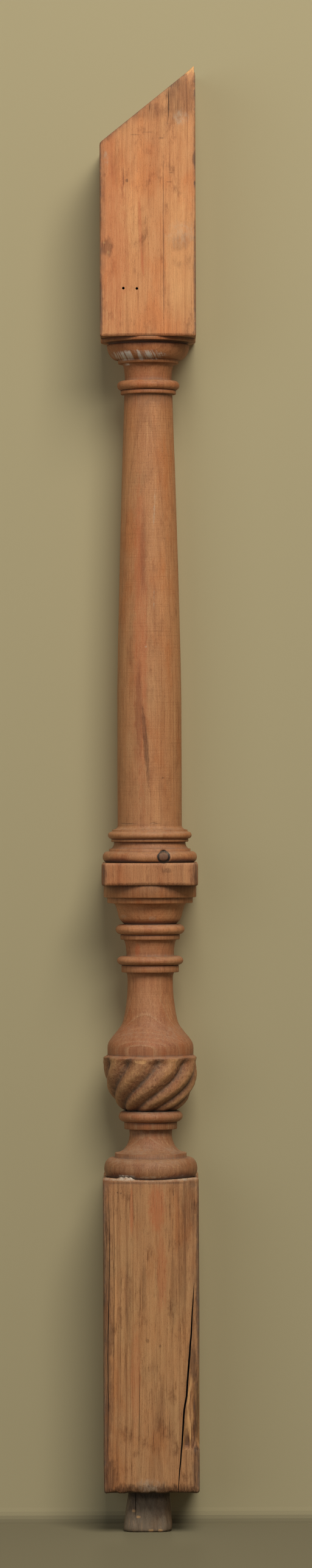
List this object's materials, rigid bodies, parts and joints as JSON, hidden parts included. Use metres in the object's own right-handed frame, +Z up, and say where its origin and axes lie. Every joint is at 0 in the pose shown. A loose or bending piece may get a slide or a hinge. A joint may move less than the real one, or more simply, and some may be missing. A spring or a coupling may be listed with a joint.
{
  "type": "stair baluster",
  "caption": "Turned softwood stair baluster, a tapering column on a vase with a spirally carved cup, between square blocks; raked top cut and a whittled tenon below.",
  "frame": {"origin": "where the turning axis meets the end face of the tenon", "axes": "+Z up the turning axis, -Y the front face, +X the side towards which the raked top climbs"},
  "size_m": [0.055, 0.055, 0.838],
  "materials": {
    "aged_softwood": "stripped old softwood with open grain, dull to faint sheen, dusty ledges, dark worn edges and checks"
  },
  "bodies": {
    "root": {"baluster": "aged_softwood"}
  },
  "joints": []
}
